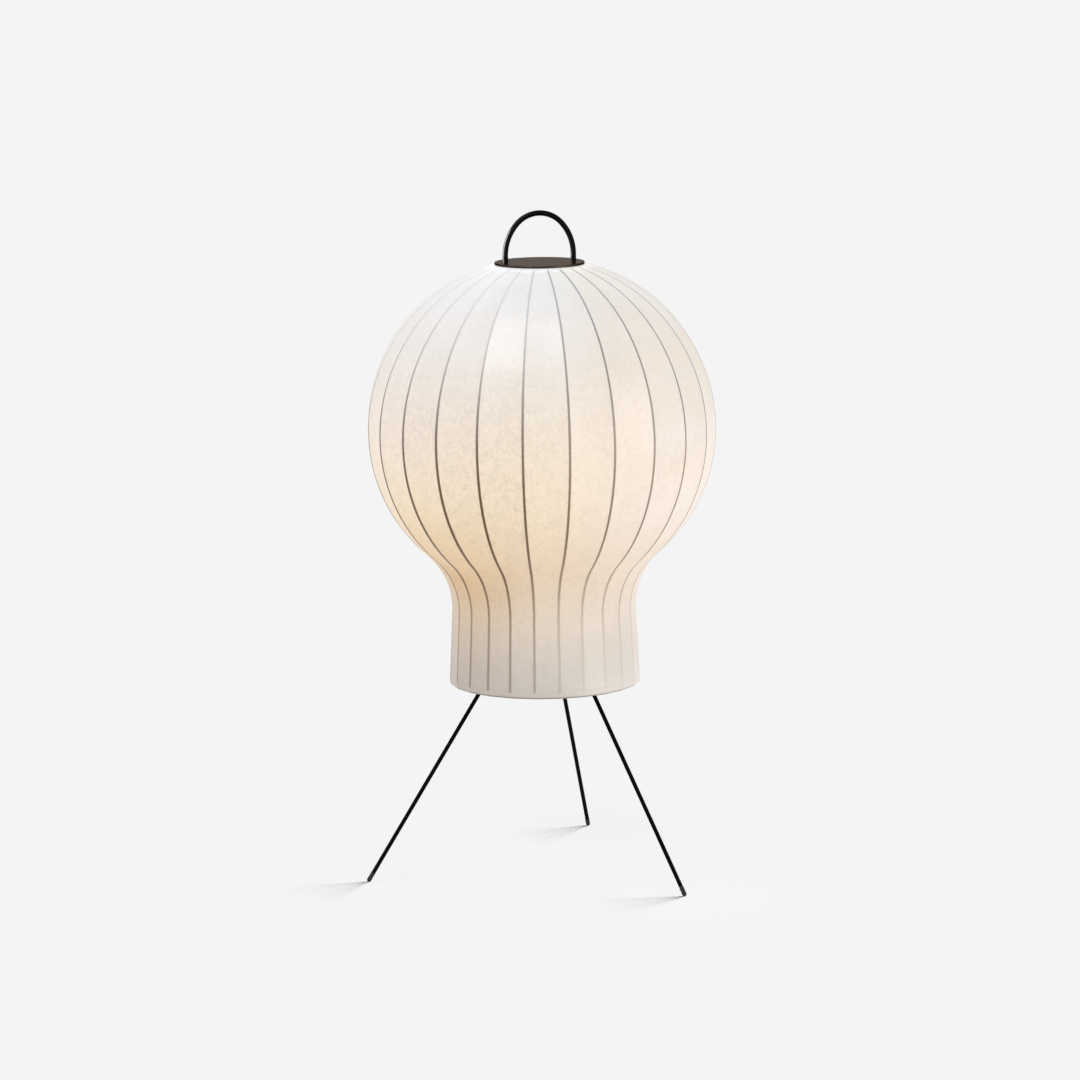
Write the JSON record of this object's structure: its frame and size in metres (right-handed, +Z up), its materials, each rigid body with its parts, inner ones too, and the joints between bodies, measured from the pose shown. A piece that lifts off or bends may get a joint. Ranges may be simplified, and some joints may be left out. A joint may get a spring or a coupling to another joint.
{
  "type": "silk lantern floor lamp",
  "caption": "Floor lamp: a silk covered wire lantern with a round balloon and a straight neck, a loop handle on top, standing on splayed rod legs.",
  "frame": {"origin": "on the floor under the lamp's axis, in the middle of the circle on which the three leg tips stand", "axes": "+Z up along the lamp's axis; the handle stands in the XZ plane; one leg points along -X"},
  "size_m": [0.5234, 0.5004, 0.9671],
  "materials": {
    "silk": "cream silk stiffened with clear lacquer, fibrous, lets light through",
    "plate_metal": "satin dark bronze paint",
    "black_metal": "satin black powder coat",
    "frame_wire": "dark painted steel wire",
    "zinc_steel": "zinc plated",
    "brass": "plain brass",
    "cap_metal": "bright pressed metal",
    "porcelain": "white glazed porcelain",
    "black_plastic": "black moulded phenolic",
    "black_glass": "black vitreous insulator",
    "frosted_glass": "inside frosted",
    "clear_glass": "clear",
    "rubber": "black, matt"
  },
  "bodies": {
    "lamp": {"top_plate": "plate_metal", "handle": "black_metal", "handle_washers": "zinc_steel", "handle_nuts": "zinc_steel", "top_ring": "frame_wire", "shade_ribs": "frame_wire", "bottom_ring": "frame_wire", "silk_cover": "silk", "fitter_arms": "frame_wire", "fitter_ring": "frame_wire", "holder_cap": "black_plastic", "holder_body": "black_plastic", "holder_insert": "porcelain", "screw_shell": "brass", "centre_contact": "brass", "terminal_blocks": "brass", "terminal_screws": "zinc_steel", "hub": "black_metal", "wiring_tube": "zinc_steel", "lock_nut": "zinc_steel", "cable_gland": "black_plastic", "leg_1": "black_metal", "leg_2": "black_metal", "leg_3": "black_metal", "leg_tip_1": "rubber", "leg_tip_2": "rubber", "leg_tip_3": "rubber"},
    "shade_ring": {"shade_ring": "black_plastic"},
    "bulb": {"bulb_contact": "cap_metal", "bulb_insulator": "black_glass", "bulb_cap": "cap_metal", "bulb_glass": "frosted_glass", "bulb_stem": "clear_glass", "bulb_filament": "zinc_steel"}
  },
  "joints": [
    {"name": "shade_ring_turn", "type": "hinge", "parent": "lamp", "child": "shade_ring", "pos_m": [0, 0, 0.445], "axis": [0, 0, 1], "range_deg": [0, 1080]},
    {"name": "bulb_turn", "type": "hinge", "parent": "lamp", "child": "bulb", "pos_m": [0, 0, 0.5], "axis": [0, 0, 1], "range_deg": [0, 900]}
  ]
}
